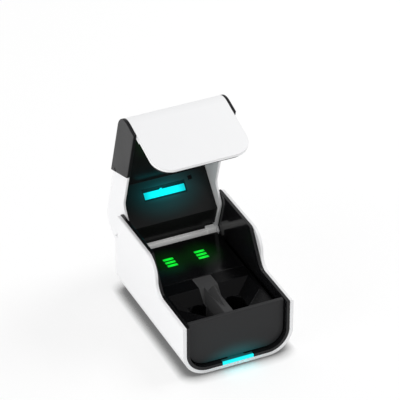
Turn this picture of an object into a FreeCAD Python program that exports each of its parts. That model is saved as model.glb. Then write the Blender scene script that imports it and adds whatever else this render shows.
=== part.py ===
"""Hearing aid dryer: a pod with two charging wells, warm air, and a hinged lid that holds a UV lamp.

Millimetres. X is right, Y is back, Z is up. Everything is drawn in the housing's own frame:
Y = 0 at the front edge of the housing, Z = 0 at the underside of its shell. The lid is drawn
closed and then swung open about the hinge. Each piece is moved to the part's origin, which is
the middle of the footprint on the tabletop, when it is written.
"""
import FreeCAD, Part
import math
import os

os.makedirs("parts", exist_ok=True)
V = FreeCAD.Vector

# ---------------------------------------------------------------- housing
housing_width = 66.0
housing_length = 89.0
low_wall = 33.1            # side wall height beside the wells
high_wall = 53.1           # side wall height beside the hinge
shell_wall = 2.0
keel_radius = 15.0         # long rounded edges under the shell
step_back = 37.1           # where the shell's side steps up, from the front
shoulder_radius = 11.8
throat_radius = 8.0
rim_chamfer = 0.5
rear_corner_radius = 1.6
pad_proud = 0.6            # rubber pad below the shell
pad_side_gap = 1.6         # pad to the start of the rounded keels
pad_end_margin = 4.5       # pad to each end of the shell
pad_corner = 4.0
pad_seat = 0.8             # depth of the pad's recess in the shell
pad_fit = 0.15
pad_groove = 1.2
pad_groove_spread = 0.29   # each groove's place, as a share of the pad's length

# ---------------------------------------------------------------- black tub
fit = 0.1                  # moulding to moulding, not moving
weld = 0.5                 # how far joined forms run into each other
tub_wall = 1.8
slope_lead = 3.3           # tub's side slope starts this far ahead of the shell's step
slope_run = 13.4
slope_foot_radius = 5.0
slope_top_radius = 3.0
shelf_top = 22.5
shelf_thick = 1.5
shelf_reach = 4.2          # from the tub's wall inwards
gusset_reach = 1.5
gusset_drop = 3.0
rear_wall_inset = 2.8      # tub's rear wall to the end of the shell
rear_wall_thick = 1.6
tub_end_gap = 0.4
upstand_top = 30.0
upstand_thick = 0.9
ear_radius = 3.6

# ---------------------------------------------------------------- front
panel_recess = 3.0
panel_thick = 2.4
panel_gap = 0.6            # shadow gap round the panel
panel_chamfer = 0.35
key_width = 18.4
key_depth = 2.6
key_proud = 0.1
key_flush = 0.05           # key's top below the tub's floor
key_travel = 0.8
key_clear = 0.25
key_slack = 0.05           # key's catch to the back of the panel, at rest
catch_thick = 0.9
catch_rise = 1.8           # above the panel's lower edge
lug_thick = 2.2            # key's lug in front of the switch
lug_rise = 1.5             # above the plunger
switch_gap = 5.0           # panel to switch body
switch_size = (6.0, 3.4, 4.2)
plunger_radius = 0.45
plunger_length = 1.2
plunger_bore = 1.15
plunger_bore_depth = 2.0
stop_gap = 0.1             # pressed key to the switch body

# ---------------------------------------------------------------- wells and deck
deck_top = 27.3
deck_thick = 1.8
deck_side_gap = 0.8        # deck's edge to the lid's cheek
deck_end_gap = 0.9
deck_front = 48.8          # joint between the well insert and the deck
tongue = 2.2               # deck's tongue below the insert's rear edge
tongue_thick = 1.0
tongue_side_gap = 3.0
skirt_thick = 1.3
fence_drop = 1.2           # fence behind the panel, below the low wall
well_half_spacing = 10.4
well_middle = 23.5
well_width = 10.6
well_length = 19.0
well_corner = 3.6          # the wells' corners are cut off this much
well_wall = 1.2
mouth_rise = 6.5           # depth of the sloping facets round each well
mouth_wall = 1.4
mouth_inner = 2.6
mouth_edge_margin = 2.4    # mouth to the insert's side edge
mouth_front = 8.2
mouth_rear = 39.0
mouth_cut = 16.5           # outer front corner of the mouth is cut off this much
ridge_half_width = 4.8
ridge_peak_place = 32.0    # the ridge between the wells peaks here
ridge_peak = 32.6
ridge_front = 24.2
ridge_tail = 4.8           # ridge falls back to the deck's level over this
post_radius = 2.6
post_side_gap = 2.4        # rear posts to the edge of the tub's flat floor
post_foot_gap = 0.4
front_post_place = 19.5    # between the wells
rear_post_inset = 4.0      # to the deck's rear edge
screw_radius = 0.9
screw_hole_gap = 0.4
screw_length = 9.0
screw_head_radius = 2.1
screw_head_thick = 1.1
air_slot = 1.0
air_slot_pitch = 2.2
air_slot_height = 7.0
air_slot_rise = 2.0

# ---------------------------------------------------------------- status lights
bar_length = 6.0
bar_width = 1.85
bar_pitch = 3.1
bar_count = 3
bar_gap = 0.05
bar_group_offset = 9.55
bar_rear_inset = 16.7      # middle bar to the deck's rear edge
bar_depth = 1.6            # light guides below the deck's underside
board_thick = 1.2
indicator_margin = 1.6
indicator_overhang = 4.6
boss_side = 3.4
boss_inset = 2.2

# ---------------------------------------------------------------- hinge
hinge_inset = 0.1          # hinge line to the end of the shell
hinge_high = 26.4
open_angle = 72.9
pin_radius = 1.2
pin_running_gap = 0.05
pin_reach = 3.6            # pin's inner end, inside the lid's cheek
pin_end_gap = 0.2
arm_boss_radius = 3.1
rail_height = 3.6
rail_depth = 2.6
block_width = 5.0
block_depth = 4.6
block_height = 7.0
block_corner = 1.0
block_side_gap = 0.5

# ---------------------------------------------------------------- lid
lid_side_gap = 0.3         # lid to tub wall
lid_wall = 1.8
cheek_thick = 1.2
lid_proud = 2.4            # outer face of the flap, in front of the housing
lid_rear_proud = 1.7       # outer face of the skin, behind the hinge line
flap_low = 4.6             # lower edge of the closed flap
flap_corner = 11.0
brow_radius = 11.0         # top of the flap
rear_radius = 12.0
skin_end = 39.4            # lower edge of the skin at the back
cheek_rim = 36.3
cheek_bend = 30.4          # end of the level rim, in front of the hinge line
arm_start = 22.4           # start of the arm, in front of the hinge line
cheek_bend_radius = 7.0
arm_bend_radius = 4.0
arm_shoulder = 5.2
hook_drop = 3.6
hook_depth = 1.4
roll_radius = 11.4         # rear cover's top, round the hinge
roll_gap = 0.8
cap_seat_gap = 0.4         # closed cap above the low wall
cap_slope_gap = 1.4
cap_side_gap = 0.2         # cap's face inside the tub's outer face
cap_foot_radius = 3.0
cap_chamfer = 0.3
liner_thick = 1.2
liner_gap = 0.1
ceiling = 49.8
crease_front = 29.2        # ceiling ends and the lamp slope starts, in front of the hinge line
crease_rear = 16.6         # lamp slope ends
liner_low = 28.4
liner_end = 4.4
lining_back = 2.3
lining_margin = 1.8
lamp_from_crease = 4.3
lamp_end_gap = 0.1         # lamp's ends to its tray's walls
lamp_side_gap = 1.05
lamp_tray_depth = 2.4
lamp_tray_wall = 0.6
lamp_length = 25.0
lamp_width = 3.9
lamp_thick = 1.0
lamp_sunk = 0.5
lamp_drop = 0.4            # lamp below the middle of its tray
lamp_tip_radius = 0.7
lamp_tip_offset = 1.5
emitter_side = 1.8
emitter_pitch = 6.0
emitter_count = 4
eye_side = 2.3
eye_from_tray = 2.45
eye_from_crease = 3.9
eye_gap = 0.05
eye_sunk = 0.4

# ---------------------------------------------------------------- rear cover
cover_depth = 5.5
cover_wall = 1.6
cover_inset = 0.4
cover_corner = 3.0
cover_flange = 2.0         # cover's upright flange, behind the hinge line
grille_slot_width = 1.4
grille_pitch = 2.8
grille_slots = 7
grille_slot_height = 9.0
grille_above_socket = 2.8
socket_width = 9.0
socket_height = 3.2
socket_length = 7.4
socket_wall = 0.35
socket_rise = 3.0          # above the tub's floor
socket_sunk = 0.3
socket_gap = 0.2
socket_tongue = 0.7
socket_board_length = 11.8

# ---------------------------------------------------------------- works inside
magnet_side = 5.0
magnet_thick = 2.0
magnet_side_gap = 7.1
magnet_high = 15.0
magnet_fit = 0.05
sensor_size = (3.0, 1.0, 4.0)
sensor_gap = 1.5
works_gap = 0.3            # loose pieces to their neighbours
board_share = 0.33         # main board's width, as a share of the flat floor
board_rise = 1.8
board_length = 28.0
standoff_side = 2.8
standoff_inset = 2.0
chip_side = 7.0
chip_thick = 1.0
choke_side = 5.8
choke_height = 3.4
capacitor_radius = 1.6
capacitor_height = 5.0
blower_height = 9.0
blower_wall = 1.0
blower_corner = 2.5
cavity_margin = 1.4        # blower cavity to the side of its case
inlet_margin = 2.6
impeller_gap = 0.9
impeller_lift = 0.5
impeller_disc = 0.8
hub_radius = 3.4
blade_count = 7
blade_thick = 0.7
blade_lean = 32.0          # degrees that each blade leans back from the radius
shaft_radius = 0.8
heater_length = 8.0
fin_gap = 1.1
fin_thick = 0.9
heater_wall = 1.2
coil_side = 9.0
coil_corner = 1.6
coil_hole = 4.0
coil_thick = 1.4

# worked out from the sizes above
half_width = housing_width / 2
shell_inner = half_width - shell_wall
tub_outer = shell_inner - fit
tub_inner = tub_outer - tub_wall
tub_floor = shell_wall + fit + tub_wall
tub_keel = keel_radius - shell_wall - fit
well_floor = tub_floor + coil_thick + fit + well_wall
slope_foot = step_back - slope_lead
slope_top = slope_foot + slope_run
rear_wall_place = housing_length - rear_wall_inset
lid_half = tub_inner - lid_side_gap
cheek_inner = lid_half - cheek_thick
deck_half_width = cheek_inner - deck_side_gap
deck_end = rear_wall_place - deck_end_gap
mouth_outer = deck_half_width - mouth_edge_margin
floor_half = tub_inner - (tub_keel - tub_wall)
post_offset = floor_half - post_side_gap - post_radius
deck_post_row = deck_end - rear_post_inset
pad_half = half_width - keel_radius - pad_side_gap
bar_middle = deck_end - bar_rear_inset
indicator_seat = deck_top - deck_thick - bar_depth
indicator_half = bar_group_offset + bar_length / 2 + indicator_overhang
panel_front = panel_recess
panel_back = panel_recess + panel_thick
switch_front = panel_back + switch_gap
key_low = shell_wall + key_clear
key_top = tub_floor - key_flush
key_stem_half = key_width / 4
key_stem_end = switch_front - key_travel - stop_gap
plunger_high = tub_floor + switch_size[2] / 2
hinge_back = housing_length - hinge_inset
lid_front = -lid_proud
lid_rear = hinge_back + lid_rear_proud
lid_top = high_wall + fit
cap_low = low_wall + cap_seat_gap
cap_thick = tub_outer - cap_side_gap - lid_half
liner_half = cheek_inner - liner_gap
lamp_tray_length = lamp_length + 2 * (lamp_end_gap + lamp_tray_wall)
lamp_tray_width = lamp_width + 2 * (lamp_side_gap + lamp_tray_wall)
lamp_line = lamp_from_crease + lamp_tray_width / 2 + lamp_drop
eye_offset = lamp_tray_length / 2 + eye_from_tray + eye_side / 2
cover_back = housing_length + cover_depth
socket_low = tub_floor + socket_rise
grille_low = socket_low + socket_height + grille_above_socket
magnet_offset = tub_inner - magnet_side_gap
board_seat = tub_floor + board_rise
board_left = -(floor_half - works_gap)
board_right = board_left + 2 * floor_half * board_share
board_rear = deck_post_row - post_radius - works_gap
board_front = board_rear - board_length
blower_left = board_right + works_gap
blower_right = floor_half - works_gap
blower_side = blower_right - blower_left
blower_x = (blower_left + blower_right) / 2
blower_y = board_rear - blower_side / 2
cavity_radius = blower_side / 2 - cavity_margin
impeller_radius = cavity_radius - impeller_gap


# ---------------------------------------------------------------- drawing helpers
def to_plane(plane, a, b, level):
    """A point of a flat drawing: YZ is seen from the side, XZ from the front, XY from above."""
    if plane == "YZ":
        return V(level, a, b)
    if plane == "XZ":
        return V(a, level, b)
    return V(a, b, level)


def corner_arc(before, corner, after, radius):
    """Start, middle and end of the arc that rounds one corner of a polygon."""
    ax, ay = before[0] - corner[0], before[1] - corner[1]
    bx, by = after[0] - corner[0], after[1] - corner[1]
    a_len, b_len = math.hypot(ax, ay), math.hypot(bx, by)
    ax, ay, bx, by = ax / a_len, ay / a_len, bx / b_len, by / b_len
    half = math.acos(max(-1.0, min(1.0, ax * bx + ay * by))) / 2
    reach = radius / math.tan(half)
    mx, my = ax + bx, ay + by
    m_len = math.hypot(mx, my)
    to_arc = radius / math.sin(half) - radius
    start = (corner[0] + ax * reach, corner[1] + ay * reach)
    middle = (corner[0] + mx / m_len * to_arc, corner[1] + my / m_len * to_arc)
    end = (corner[0] + bx * reach, corner[1] + by * reach)
    return start, middle, end


def outline(plane, level, corners):
    """A closed wire from corners (a, b, radius); radius 0 leaves the corner sharp."""
    count = len(corners)
    joints = []
    for i, (a, b, radius) in enumerate(corners):
        if radius > 0:
            joints.append(corner_arc(corners[i - 1], (a, b), corners[(i + 1) % count], radius))
        else:
            joints.append(((a, b), None, (a, b)))
    edges = []
    for i, (start, middle, end) in enumerate(joints):
        if middle is not None:
            points = [to_plane(plane, p[0], p[1], level) for p in (start, middle, end)]
            edges.append(Part.Arc(*points).toShape())
        first = to_plane(plane, end[0], end[1], level)
        following = joints[(i + 1) % count][0]
        last = to_plane(plane, following[0], following[1], level)
        if first.distanceToPoint(last) > 1e-4:
            edges.append(Part.LineSegment(first, last).toShape())
    return Part.Wire(edges)


def slab(plane, corners, low, high):
    """A flat drawing made solid between two levels square to it."""
    depth = high - low
    along = {"YZ": V(depth, 0, 0), "XZ": V(0, depth, 0), "XY": V(0, 0, depth)}[plane]
    return Part.Face(outline(plane, low, corners)).extrude(along)


def box(x0, x1, y0, y1, z0, z1):
    return Part.makeBox(x1 - x0, y1 - y0, z1 - z0, V(x0, y0, z0))


def rod(radius, length, start, along):
    return Part.makeCylinder(radius, length, start, along)


def upright(radius, low, high, x, y):
    return Part.makeCylinder(radius, high - low, V(x, y, low))


def rounded_rect(a0, a1, b0, b1, radius):
    return [(a0, b0, radius), (a1, b0, radius), (a1, b1, radius), (a0, b1, radius)]


def eight_sided(x, y, half_x, half_y, cut):
    """A rectangle about a centre with its corners cut off."""
    return [(x - half_x + cut, y - half_y, 0), (x + half_x - cut, y - half_y, 0),
            (x + half_x, y - half_y + cut, 0), (x + half_x, y + half_y - cut, 0),
            (x + half_x - cut, y + half_y, 0), (x - half_x + cut, y + half_y, 0),
            (x - half_x, y + half_y - cut, 0), (x - half_x, y - half_y + cut, 0)]


def trough(half, under, top, radius):
    """The housing's cross-section: upright sides joined by long rounded keels."""
    return [(-half, under, radius), (half, under, radius), (half, top, 0), (-half, top, 0)]


def faceted(*rings):
    """A solid of flat triangles through rings of points, each ring with the same count."""
    faces = []
    for ring in (rings[0], rings[-1]):
        faces.append(Part.Face(Part.makePolygon(list(ring) + [ring[0]])))
    for low, high in zip(rings, rings[1:]):
        for i in range(len(low)):
            k = (i + 1) % len(low)
            for corners in ((low[i], low[k], high[k]), (low[i], high[k], high[i])):
                if (corners[1] - corners[0]).cross(corners[2] - corners[0]).Length > 1e-6:
                    faces.append(Part.Face(Part.makePolygon(list(corners) + [corners[0]])))
    solid = Part.makeSolid(Part.makeShell(faces))
    return solid if solid.Volume > 0 else solid.reversed()


def mirrored(shape):
    return shape.mirror(V(0, 0, 0), V(1, 0, 0))


def both_sides(shape):
    return shape.fuse(mirrored(shape))


def pair(shape):
    """A piece and its mirror image, kept as two solids."""
    return Part.makeCompound([shape, mirrored(shape)])


def joined(shapes):
    whole = shapes[0].fuse(shapes[1:]) if len(shapes) > 1 else shapes[0]
    return whole.removeSplitter()


def edges_where(shape, test):
    """Edges whose two ends and middle all pass a test on the point."""
    found = []
    for edge in shape.Edges:
        first, last = edge.ParameterRange
        points = [edge.valueAt(first + (last - first) * t) for t in (0.0, 0.5, 1.0)]
        if all(test(p) for p in points):
            found.append(edge)
    return found


def near(value, target, slack=0.01):
    return abs(value - target) < slack


def opened(shape):
    """Swing a lid piece from closed to its open stop."""
    turned = shape.copy()
    turned.rotate(V(0, hinge_back, hinge_high), V(1, 0, 0), -open_angle)
    return turned


def write(node, shape):
    placed = shape.copy()
    placed.translate(V(0, -housing_length / 2, pad_proud))
    placed.exportStep("parts/" + node + ".step")


# ---------------------------------------------------------------- housing
front_posts = [(0, front_post_place)]
rear_posts = [(-post_offset, deck_post_row), (post_offset, deck_post_row)]


def key_opening(half, end):
    """Slot in the tub's floor for the start key's bar or stem, with room for its travel."""
    return box(-half - key_clear, half + key_clear, -1, end + key_travel + key_clear, 0, tub_floor + 1)


def outer_shell():
    """White U-shaped shell. Its sides step up in an S to the high rear part."""
    body = slab("XZ", trough(half_width, 0, high_wall, keel_radius), 0, housing_length)
    inside = slab("XZ", trough(shell_inner, shell_wall, high_wall + 1, keel_radius - shell_wall),
                  -1, housing_length + 1)
    throat = min(throat_radius, high_wall - low_wall - shoulder_radius)
    side_view = [(0, -1, 0), (housing_length, -1, 0), (housing_length, high_wall, rear_corner_radius),
                 (step_back, high_wall, shoulder_radius), (step_back, low_wall, throat),
                 (0, low_wall, 0)]
    shell = body.cut(inside).common(slab("YZ", side_view, -half_width, half_width))
    rim = edges_where(shell, lambda p: near(abs(p.x), half_width) and p.z > low_wall - 1
                      and 0 < p.y + 1 < housing_length)
    shell = shell.makeChamfer(rim_chamfer, rim)
    pad_recess = slab("XY", pad_outline(pad_fit), -1, pad_seat)
    head_holes = [upright(screw_head_radius + screw_hole_gap / 2, 0, shell_wall + 1, x, y)
                  for x, y in front_posts + rear_posts]
    return shell.cut([pad_recess] + head_holes)


def pad_outline(margin):
    half = pad_half + margin
    return rounded_rect(-half, half, pad_end_margin - margin, housing_length - pad_end_margin + margin,
                        pad_corner + margin)


def rubber_pad():
    """Non-slip pad in a recess under the shell, with two cross grooves."""
    pad = slab("XY", pad_outline(0), -pad_proud, pad_seat)
    grooves = []
    for side in (-1, 1):
        middle = housing_length / 2 + side * pad_groove_spread * housing_length
        grooves.append(box(-pad_half - 1, pad_half + 1, middle - pad_groove / 2, middle + pad_groove / 2,
                           -pad_proud - 1, -pad_proud / 2))
    return pad.cut(grooves)


def inner_tub():
    """Glossy black liner: inner walls, shelves for the insert and deck, and ears for the hinge."""
    body = slab("XZ", trough(tub_outer, shell_wall + fit, high_wall, tub_keel),
                0, housing_length - tub_end_gap)
    inside = slab("XZ", trough(tub_inner, tub_floor, high_wall + 1, tub_keel - tub_wall),
                  -1, housing_length + 1)
    side_view = [(0, -1, 0), (housing_length, -1, 0), (housing_length, high_wall, 0),
                 (slope_top, high_wall, slope_top_radius), (slope_foot, low_wall, slope_foot_radius),
                 (0, low_wall, 0)]
    walls = body.cut(inside).common(slab("YZ", side_view, -half_width, half_width))
    inlay = tub_inner + weld
    shelf = box(tub_inner - shelf_reach, inlay, panel_back, rear_wall_place + 1,
                shelf_top - shelf_thick, shelf_top)
    gusset = box(tub_inner - gusset_reach, inlay, panel_back, rear_wall_place,
                 shelf_top - shelf_thick - gusset_drop, shelf_top - weld)
    rear = slab("XZ", trough(inlay, tub_floor - weld, shelf_top, tub_keel - tub_wall),
                rear_wall_place, rear_wall_place + rear_wall_thick)
    ledge_back = hinge_back + block_depth / 2 + fit
    ledge = box(-tub_inner + fit, tub_inner - fit, rear_wall_place, ledge_back + upstand_thick,
                shelf_top - shelf_thick, shelf_top)
    upstand = box(-rail_half(), rail_half(), ledge_back, ledge_back + upstand_thick,
                  shelf_top - shelf_thick, upstand_top)
    ear_thick = tub_wall - cap_side_gap
    ear = joined([rod(ear_radius, ear_thick, V(tub_inner, hinge_back, hinge_high), V(1, 0, 0)),
                  box(tub_inner, tub_inner + ear_thick, hinge_back - 2 * ear_radius, hinge_back,
                      hinge_high - ear_radius, hinge_high + ear_radius)])
    half = standoff_side / 2
    standoffs = [box(x - half, x + half, y - half, y + half, tub_floor - weld, board_seat)
                 for x, y in standoff_places()]
    tub = joined([walls, rear, ledge, upstand, both_sides(shelf), both_sides(gusset),
                  both_sides(ear)] + standoffs)
    pin_hole = rod(pin_radius, 2 * tub_wall, V(tub_inner - 1, hinge_back, hinge_high), V(1, 0, 0))
    through = (rear_wall_place - 1, rear_wall_place + rear_wall_thick + 1)
    key_slots = [key_opening(key_width / 2, key_depth), key_opening(key_stem_half, key_stem_end)]
    socket_notch = box(-socket_width / 2 - 1, socket_width / 2 + 1, *through,
                       socket_low - board_thick - 1, socket_low + socket_height + 1)
    air_way = box(blower_left, blower_right, *through, tub_floor + blower_height, shelf_top - gusset_drop)
    screw_holes = [upright(screw_radius + screw_hole_gap, 0, tub_floor + 1, x, y)
                   for x, y in front_posts + rear_posts]
    return tub.cut([both_sides(pin_hole), socket_notch, air_way] + key_slots + screw_holes)


def front_panel():
    """Dark satin panel, set back so that the closed flap drops in front of it."""
    half = tub_inner - panel_gap
    radius = tub_keel - tub_wall - panel_gap
    foot = tub_floor + panel_gap
    panel = slab("XZ", [(-half, foot, radius), (half, foot, radius), (half, low_wall, 0),
                        (-half, low_wall, 0)], panel_front, panel_back)
    lip = edges_where(panel, lambda p: near(p.y, panel_front) and near(p.z, low_wall))
    return panel.makeChamfer(panel_chamfer, lip)


# ---------------------------------------------------------------- start key
def start_key():
    """Clear light-guide key: a glowing bar in the tub's floor, with a stem that runs back to its switch."""
    half = key_stem_half
    bar = box(-key_width / 2, key_width / 2, -key_proud, key_depth, key_low, key_top)
    stem = box(-half, half, key_depth - weld, key_stem_end, key_low, key_top)
    catch = box(-half, half, panel_back + key_slack, panel_back + key_slack + catch_thick,
                key_low, tub_floor + panel_gap + catch_rise)
    lug = box(-half, half, key_stem_end - lug_thick, key_stem_end, key_low, plunger_high + lug_rise)
    bore = rod(plunger_bore, plunger_bore_depth + 1, V(0, key_stem_end - plunger_bore_depth, plunger_high),
               V(0, 1, 0))
    return joined([bar, stem, catch, lug]).cut(bore)


def key_switch():
    """Push switch behind the key; its plunger sits in a bore in the key's lug."""
    wide, deep, tall = switch_size
    body = box(-wide / 2, wide / 2, switch_front, switch_front + deep, tub_floor, tub_floor + tall)
    plunger = rod(plunger_radius, plunger_length + weld, V(0, switch_front - plunger_length, plunger_high),
                  V(0, 1, 0))
    return joined([body, plunger])


# ---------------------------------------------------------------- well insert and deck
def plate_with_skirt(front, back):
    """A flat top with a skirt that stands on the tub's shelves."""
    half = deck_half_width
    plate = box(-half, half, front, back, deck_top - deck_thick, deck_top)
    skirt = box(-half, half, front, back, shelf_top, deck_top)
    hollow = box(-half + skirt_thick, half - skirt_thick, front + skirt_thick, back - skirt_thick,
                 shelf_top - 1, deck_top)
    return joined([plate, skirt.cut(hollow)])


def screw_posts(places):
    """Posts from the top's underside to just above the tub's floor."""
    return [upright(post_radius, tub_floor + post_foot_gap, deck_top - weld, x, y) for x, y in places]


def screw_pilots(places):
    """Blind holes for the screws, up into the posts."""
    return [upright(screw_radius, tub_floor, shell_wall + fit + screw_length + fit, x, y) for x, y in places]


def well_pit(grow, low, high):
    """The upright eight-sided space of the right-hand well, or its wall when grown."""
    return slab("XY", eight_sided(well_half_spacing, well_middle, well_width / 2 + grow,
                                  well_length / 2 + grow, well_corner), low, high)


def mouth_ring(level, inner, outer, front, rear, cut):
    """One right-hand mouth outline: a rectangle with its outer front corner cut off."""
    return [V(inner, front, level), V(outer - cut, front, level), V(outer, front + cut, level),
            V(outer, rear, level), V(inner, rear, level)]


def mouth_funnel(grow):
    """Sloping facets from the insert's top down to the right-hand well, or their wall when grown."""
    half_w, half_l = well_width / 2 + grow, well_length / 2 + grow
    top = mouth_ring(deck_top + fit - grow, mouth_inner - grow, mouth_outer + grow, mouth_front - grow,
                     mouth_rear + grow, mouth_cut)
    low = mouth_ring(deck_top - mouth_rise - grow, well_half_spacing - half_w, well_half_spacing + half_w,
                     well_middle - half_l, well_middle + half_l, well_corner)
    return faceted(low, top)


def well_ridge():
    """Hipped ridge between the wells: it climbs from the front, peaks, and falls to the deck."""
    def gable(y, half, peak):
        base = deck_top - mouth_rise
        return [V(-half, y, base), V(half, y, base), V(0, y, peak)]
    return faceted(gable(mouth_front - weld, ridge_half_width, ridge_front),
                   gable(ridge_peak_place, ridge_half_width, ridge_peak),
                   gable(ridge_peak_place + ridge_tail, ridge_half_width, deck_top - weld))


def air_slots(side):
    """Warm air comes into each well through slots in its back wall."""
    back = well_middle + well_length / 2
    x = side * well_half_spacing
    low = well_floor + air_slot_rise
    return [box(x + i * air_slot_pitch - air_slot / 2, x + i * air_slot_pitch + air_slot / 2,
                back - well_width / 2, back + well_wall + 1, low, low + air_slot_height) for i in (-1, 0, 1)]


def well_insert():
    """Satin insert with two faceted wells, a fence behind the front panel and a ridge between."""
    front, back = panel_back + fit, deck_front - fit
    fence = box(-deck_half_width, deck_half_width, front, front + skirt_thick, shelf_top,
                low_wall - fence_drop)
    mouth = joined([mouth_funnel(mouth_wall), well_pit(well_wall, well_floor - well_wall,
                                                       deck_top - mouth_rise)])
    insert = joined([plate_with_skirt(front, back), fence, both_sides(mouth)] + screw_posts(front_posts))
    funnel = mouth_funnel(0)
    insert = joined([insert.cut([funnel, mirrored(funnel)]), well_ridge()])
    pit = well_pit(0, well_floor, ridge_peak + 1)
    cuts = screw_pilots(front_posts) + [pit, mirrored(pit)] + air_slots(-1) + air_slots(1)
    under = deck_top - deck_thick
    cuts.append(box(-deck_half_width - 1, deck_half_width + 1, back - tongue, back + 1,
                    under - tongue_thick - 2 * fit, under))
    return insert.cut(cuts)


def bar_prism(side, index, gap):
    x = side * bar_group_offset
    y = bar_middle + (index - (bar_count - 1) / 2) * bar_pitch
    half_x, half_y = bar_length / 2 + gap, bar_width / 2 + gap
    return box(x - half_x, x + half_x, y - half_y, y + half_y, indicator_seat, deck_top)


def display_deck():
    """Glossy deck behind the wells, hooked under the insert in front and screwed down at the back."""
    front = deck_front + fit
    reach = deck_half_width - tongue_side_gap
    under = deck_top - deck_thick - fit
    lip = box(-reach, reach, deck_front - tongue, front + skirt_thick, under - tongue_thick, under)
    step = box(-reach, reach, front, front + skirt_thick, under - tongue_thick, deck_top - weld)
    half = boss_side / 2
    bosses = [box(x - half, x + half, bar_middle - half, bar_middle + half, indicator_seat, deck_top - weld)
              for x in (-indicator_half + boss_inset, 0, indicator_half - boss_inset)]
    deck = joined([plate_with_skirt(front, deck_end), lip, step] + screw_posts(rear_posts) + bosses)
    bars = [bar_prism(side, i, bar_gap) for side in (-1, 1) for i in range(bar_count)]
    return deck.cut(bars + screw_pilots(rear_posts))


def status_lights(side):
    """Three clear bars, flush in the deck, that stand on the indicator board."""
    return Part.makeCompound([bar_prism(side, i, 0) for i in range(bar_count)])


def indicator_board():
    reach = bar_count * bar_pitch / 2 + indicator_margin
    return box(-indicator_half, indicator_half, bar_middle - reach, bar_middle + reach,
               indicator_seat - board_thick, indicator_seat)


def base_screws():
    """Screws from below, through the tub's floor into the posts. The rubber pad hides their heads."""
    seat = shell_wall + fit
    screws = []
    for x, y in front_posts + rear_posts:
        shank = upright(screw_radius, seat - weld, seat + screw_length, x, y)
        screws.append(joined([shank, upright(screw_head_radius, seat - screw_head_thick, seat, x, y)]))
    return Part.makeCompound(screws)


def charge_coils():
    """Flat charging coils on the tub's floor, one under each well."""
    x, y, half, hole = well_half_spacing, well_middle, coil_side / 2, coil_hole / 2
    ring = slab("XY", eight_sided(x, y, half, half, coil_corner), tub_floor, tub_floor + coil_thick)
    eye = slab("XY", eight_sided(x, y, hole, hole, coil_corner / 2), tub_floor - 1,
               tub_floor + coil_thick + 1)
    return pair(ring.cut(eye))


# ---------------------------------------------------------------- hinge
def rail_half():
    return cheek_inner - block_side_gap


def hinge_pins():
    inner = cheek_inner - pin_reach
    return pair(rod(pin_radius, tub_outer - pin_end_gap - inner, V(inner, hinge_back, hinge_high),
                    V(1, 0, 0)))


def hinge_rail():
    """Light grey bar across the back, with a block at each end that takes the pin."""
    inner = cheek_inner - pin_reach
    bar = box(-inner, inner, hinge_back - rail_depth / 2, hinge_back + rail_depth / 2,
              hinge_high - rail_height / 2, hinge_high + rail_height / 2)
    front, back = hinge_back - block_depth / 2, hinge_back + block_depth / 2
    top = shelf_top + block_height
    block = slab("YZ", [(front, shelf_top, 0), (back, shelf_top, 0), (back, top, block_corner),
                        (front, top, block_corner)], rail_half() - block_width, rail_half())
    hole = rod(pin_radius, pin_reach + 1, V(inner, hinge_back, hinge_high), V(1, 0, 0))
    return joined([bar, both_sides(block)]).cut(both_sides(hole))


# ---------------------------------------------------------------- rear cover
def cover_trough(inset, top):
    return trough(half_width - inset, inset, top, keel_radius - inset)


def roll_or_below(radius, y0, y1):
    """The cover's side view: round the hinge line above it, upright below."""
    roll = rod(radius, housing_width, V(-half_width, hinge_back, hinge_high), V(1, 0, 0))
    return joined([roll, box(-half_width, half_width, y0, y1, 0, hinge_high)])


def rear_cover():
    """White back cover with a rounded top that the lid's tail swings round."""
    front, back = housing_length, cover_back
    body = slab("XZ", cover_trough(cover_inset, high_wall), front, back)
    plan = slab("XY", [(-half_width, front, 0), (half_width, front, 0),
                       (half_width - cover_inset, back, cover_corner),
                       (-half_width + cover_inset, back, cover_corner)], 0, high_wall)
    inset = cover_inset + cover_wall
    hollow = slab("XZ", cover_trough(inset, high_wall), front - 1, back - cover_wall)
    hollow = hollow.common(roll_or_below(roll_radius - cover_wall, front - 1, back - cover_wall))
    open_front = box(-half_width + inset, half_width - inset, front - 1, hinge_back + cover_flange,
                     hinge_high, high_wall)
    cover = body.common(plan).common(roll_or_below(roll_radius, front, back))
    reach = socket_width / 2 + socket_gap
    opening = slab("XZ", eight_sided(0, socket_low + socket_height / 2, reach,
                                     socket_height / 2 + socket_gap, socket_height / 4),
                   back - cover_wall - 1, back + 1)
    first = blower_x - ((grille_slots - 1) * grille_pitch + grille_slot_width) / 2
    slots = [box(first + i * grille_pitch, first + i * grille_pitch + grille_slot_width,
                 back - cover_wall - 1, back + 1, grille_low, grille_low + grille_slot_height)
             for i in range(grille_slots)]
    return cover.cut([hollow, open_front, opening] + slots)


def power_socket():
    """Low-voltage inlet at the back: a thin metal shell with a tongue inside."""
    front = cover_back - socket_sunk - socket_length
    back = front + socket_length

    def tube(inset, y0, y1):
        half, low, high = socket_width / 2 - inset, socket_low + inset, socket_low + socket_height - inset
        return slab("XZ", rounded_rect(-half, half, low, high, (high - low) / 2 - 0.01), y0, y1)
    shell = tube(0, front, back).cut(tube(socket_wall, front + 1, back + 1))
    middle = socket_low + socket_height / 2
    reach = socket_width / 2 - socket_height / 2 + socket_wall
    tongue_box = box(-reach, reach, front + weld, back - 1, middle - socket_tongue / 2,
                     middle + socket_tongue / 2)
    return joined([shell, tongue_box])


def socket_board():
    back = cover_back - cover_wall - works_gap
    return box(-socket_width / 2 - weld, socket_width / 2 + weld, back - socket_board_length, back,
               socket_low - board_thick, socket_low)


# ---------------------------------------------------------------- works inside the housing
def standoff_places():
    xs = (board_left + standoff_inset, board_right - standoff_inset)
    ys = (board_front + standoff_inset, board_rear - standoff_inset)
    return [(x, y) for x in xs for y in ys]


def main_board():
    return box(board_left, board_right, board_front, board_rear, board_seat, board_seat + board_thick)


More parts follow.
